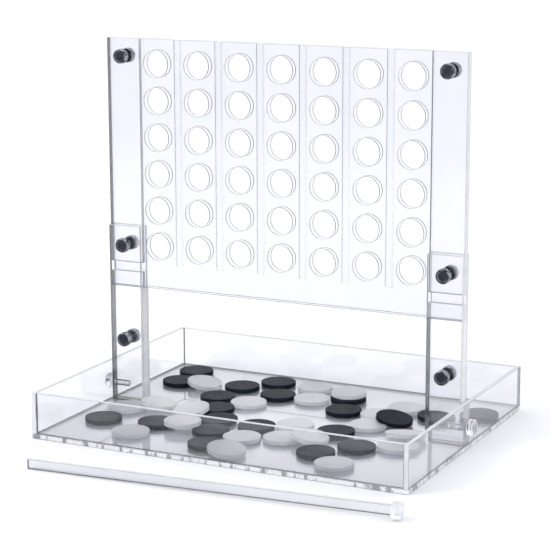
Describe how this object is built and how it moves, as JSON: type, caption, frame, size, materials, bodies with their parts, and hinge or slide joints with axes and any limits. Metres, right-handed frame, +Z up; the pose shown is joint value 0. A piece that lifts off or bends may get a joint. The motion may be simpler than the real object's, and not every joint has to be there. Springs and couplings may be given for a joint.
{
  "type": "four in a row game set",
  "caption": "Clear acrylic tabletop four-in-a-row game: a drilled two-plate board on two clamped legs in a shallow tray, with a slide-out release rod and loose black and frosted discs.",
  "frame": {"origin": "centre of the tray's underside, on the table", "axes": "+X along the long side of the tray, +Y to the back, +Z up"},
  "size_m": [0.5422, 0.4945, 0.4866],
  "materials": {
    "clear_acrylic": "clear polished acrylic sheet, faint lavender tint at the edges",
    "polished_acrylic": "clear polished acrylic bar and turned knobs",
    "black_metal": "black anodised, knurled rim, bright machined edges",
    "black_acrylic": "black acrylic, satin face and polished rim",
    "frosted_acrylic": "clear acrylic with a frosted face"
  },
  "bodies": {
    "stand": {"tray_floor": "clear_acrylic", "tray_front_wall": "clear_acrylic", "tray_back_wall": "clear_acrylic", "tray_left_wall": "clear_acrylic", "tray_right_wall": "clear_acrylic", "board_front_plate": "clear_acrylic", "board_back_plate": "clear_acrylic", "left_edge_strip": "clear_acrylic", "right_edge_strip": "clear_acrylic", "column_divider_1": "clear_acrylic", "column_divider_2": "clear_acrylic", "column_divider_3": "clear_acrylic", "column_divider_4": "clear_acrylic", "column_divider_5": "clear_acrylic", "column_divider_6": "clear_acrylic", "left_leg_core": "clear_acrylic", "left_leg_front_plate": "clear_acrylic", "left_leg_back_plate": "clear_acrylic", "right_leg_core": "clear_acrylic", "right_leg_front_plate": "clear_acrylic", "right_leg_back_plate": "clear_acrylic", "left_top_cap_screw": "black_metal", "left_middle_cap_screw": "black_metal", "left_low_cap_screw": "black_metal", "right_top_cap_screw": "black_metal", "right_middle_cap_screw": "black_metal", "right_low_cap_screw": "black_metal"},
    "left_top_cap_nut": {"left_top_cap_nut": "black_metal"},
    "left_middle_cap_nut": {"left_middle_cap_nut": "black_metal"},
    "left_low_cap_nut": {"left_low_cap_nut": "black_metal"},
    "right_top_cap_nut": {"right_top_cap_nut": "black_metal"},
    "right_middle_cap_nut": {"right_middle_cap_nut": "black_metal"},
    "right_low_cap_nut": {"right_low_cap_nut": "black_metal"},
    "left_thumb_screw": {"left_thumb_screw": "polished_acrylic"},
    "right_thumb_screw": {"right_thumb_screw": "polished_acrylic"},
    "release_rod": {"release_rod": "polished_acrylic", "release_rod_knob": "polished_acrylic"},
    "black_disc_01": {"black_disc_01": "black_acrylic"},
    "black_disc_02": {"black_disc_02": "black_acrylic"},
    "black_disc_03": {"black_disc_03": "black_acrylic"},
    "black_disc_04": {"black_disc_04": "black_acrylic"},
    "black_disc_05": {"black_disc_05": "black_acrylic"},
    "black_disc_06": {"black_disc_06": "black_acrylic"},
    "black_disc_07": {"black_disc_07": "black_acrylic"},
    "black_disc_08": {"black_disc_08": "black_acrylic"},
    "black_disc_09": {"black_disc_09": "black_acrylic"},
    "black_disc_10": {"black_disc_10": "black_acrylic"},
    "black_disc_11": {"black_disc_11": "black_acrylic"},
    "black_disc_12": {"black_disc_12": "black_acrylic"},
    "black_disc_13": {"black_disc_13": "black_acrylic"},
    "black_disc_14": {"black_disc_14": "black_acrylic"},
    "clear_disc_01": {"clear_disc_01": "frosted_acrylic"},
    "clear_disc_02": {"clear_disc_02": "frosted_acrylic"},
    "clear_disc_03": {"clear_disc_03": "frosted_acrylic"},
    "clear_disc_04": {"clear_disc_04": "frosted_acrylic"},
    "clear_disc_05": {"clear_disc_05": "frosted_acrylic"},
    "clear_disc_06": {"clear_disc_06": "frosted_acrylic"},
    "clear_disc_07": {"clear_disc_07": "frosted_acrylic"},
    "clear_disc_08": {"clear_disc_08": "frosted_acrylic"},
    "clear_disc_09": {"clear_disc_09": "frosted_acrylic"}
  },
  "joints": [
    {"name": "left_top_cap_turn", "type": "hinge", "parent": "stand", "child": "left_top_cap_nut", "pos_m": [-0.22387, 0.012, 0.4635], "axis": [0, 1, 0], "continuous": true},
    {"name": "left_middle_cap_turn", "type": "hinge", "parent": "stand", "child": "left_middle_cap_nut", "pos_m": [-0.22387, 0.012, 0.2174], "axis": [0, 1, 0], "continuous": true},
    {"name": "left_low_cap_turn", "type": "hinge", "parent": "stand", "child": "left_low_cap_nut", "pos_m": [-0.22387, 0.012, 0.091], "axis": [0, 1, 0], "continuous": true},
    {"name": "right_top_cap_turn", "type": "hinge", "parent": "stand", "child": "right_top_cap_nut", "pos_m": [0.22387, 0.012, 0.4635], "axis": [0, 1, 0], "continuous": true},
    {"name": "right_middle_cap_turn", "type": "hinge", "parent": "stand", "child": "right_middle_cap_nut", "pos_m": [0.22387, 0.012, 0.2174], "axis": [0, 1, 0], "continuous": true},
    {"name": "right_low_cap_turn", "type": "hinge", "parent": "stand", "child": "right_low_cap_nut", "pos_m": [0.22387, 0.012, 0.091], "axis": [0, 1, 0], "continuous": true},
    {"name": "left_thumb_turn", "type": "hinge", "parent": "stand", "child": "left_thumb_screw", "pos_m": [-0.258, 0, 0.028], "axis": [-1, 0, 0], "continuous": true},
    {"name": "right_thumb_turn", "type": "hinge", "parent": "stand", "child": "right_thumb_screw", "pos_m": [0.258, 0, 0.028], "axis": [1, 0, 0], "continuous": true},
    {"name": "release_rod_draw", "type": "slide", "parent": "stand", "child": "release_rod", "axis": [0.9988, 0.0482, 0], "range_m": [0, 0.46]},
    {"name": "black_disc_01_lift", "type": "slide", "parent": "stand", "child": "black_disc_01", "axis": [0, 0, 1], "range_m": [0, 0.06]},
    {"name": "black_disc_02_lift", "type": "slide", "parent": "stand", "child": "black_disc_02", "axis": [0, 0, 1], "range_m": [0, 0.06]},
    {"name": "black_disc_03_lift", "type": "slide", "parent": "stand", "child": "black_disc_03", "axis": [0, 0, 1], "range_m": [0, 0.06]},
    {"name": "black_disc_04_lift", "type": "slide", "parent": "stand", "child": "black_disc_04", "axis": [0, 0, 1], "range_m": [0, 0.06]},
    {"name": "black_disc_05_lift", "type": "slide", "parent": "stand", "child": "black_disc_05", "axis": [0, 0, 1], "range_m": [0, 0.06]},
    {"name": "black_disc_06_lift", "type": "slide", "parent": "stand", "child": "black_disc_06", "axis": [0, 0, 1], "range_m": [0, 0.06]},
    {"name": "black_disc_07_lift", "type": "slide", "parent": "stand", "child": "black_disc_07", "axis": [0, 0, 1], "range_m": [0, 0.06]},
    {"name": "black_disc_08_lift", "type": "slide", "parent": "stand", "child": "black_disc_08", "axis": [0, 0, 1], "range_m": [0, 0.06]},
    {"name": "black_disc_09_lift", "type": "slide", "parent": "stand", "child": "black_disc_09", "axis": [0, 0, 1], "range_m": [0, 0.06]},
    {"name": "black_disc_10_lift", "type": "slide", "parent": "stand", "child": "black_disc_10", "axis": [0, 0, 1], "range_m": [0, 0.06]},
    {"name": "black_disc_11_lift", "type": "slide", "parent": "stand", "child": "black_disc_11", "axis": [0, 0, 1], "range_m": [0, 0.06]},
    {"name": "black_disc_12_lift", "type": "slide", "parent": "stand", "child": "black_disc_12", "axis": [0, 0, 1], "range_m": [0, 0.06]},
    {"name": "black_disc_13_lift", "type": "slide", "parent": "stand", "child": "black_disc_13", "axis": [0, 0, 1], "range_m": [0, 0.06]},
    {"name": "black_disc_14_lift", "type": "slide", "parent": "stand", "child": "black_disc_14", "axis": [0, 0, 1], "range_m": [0, 0.06]},
    {"name": "clear_disc_01_lift", "type": "slide", "parent": "stand", "child": "clear_disc_01", "axis": [0, 0, 1], "range_m": [0, 0.06]},
    {"name": "clear_disc_02_lift", "type": "slide", "parent": "stand", "child": "clear_disc_02", "axis": [0, 0, 1], "range_m": [0, 0.06]},
    {"name": "clear_disc_03_lift", "type": "slide", "parent": "stand", "child": "clear_disc_03", "axis": [0, 0, 1], "range_m": [0, 0.06]},
    {"name": "clear_disc_04_lift", "type": "slide", "parent": "stand", "child": "clear_disc_04", "axis": [0, 0, 1], "range_m": [0, 0.06]},
    {"name": "clear_disc_05_lift", "type": "slide", "parent": "stand", "child": "clear_disc_05", "axis": [0, 0, 1], "range_m": [0, 0.06]},
    {"name": "clear_disc_06_lift", "type": "slide", "parent": "stand", "child": "clear_disc_06", "axis": [0, 0, 1], "range_m": [0, 0.06]},
    {"name": "clear_disc_07_lift", "type": "slide", "parent": "stand", "child": "clear_disc_07", "axis": [0, 0, 1], "range_m": [0, 0.06]},
    {"name": "clear_disc_08_lift", "type": "slide", "parent": "stand", "child": "clear_disc_08", "axis": [0, 0, 1], "range_m": [0, 0.06]},
    {"name": "clear_disc_09_lift", "type": "slide", "parent": "black_disc_14", "child": "clear_disc_09", "axis": [0, 0, 1], "range_m": [0, 0.06]}
  ]
}
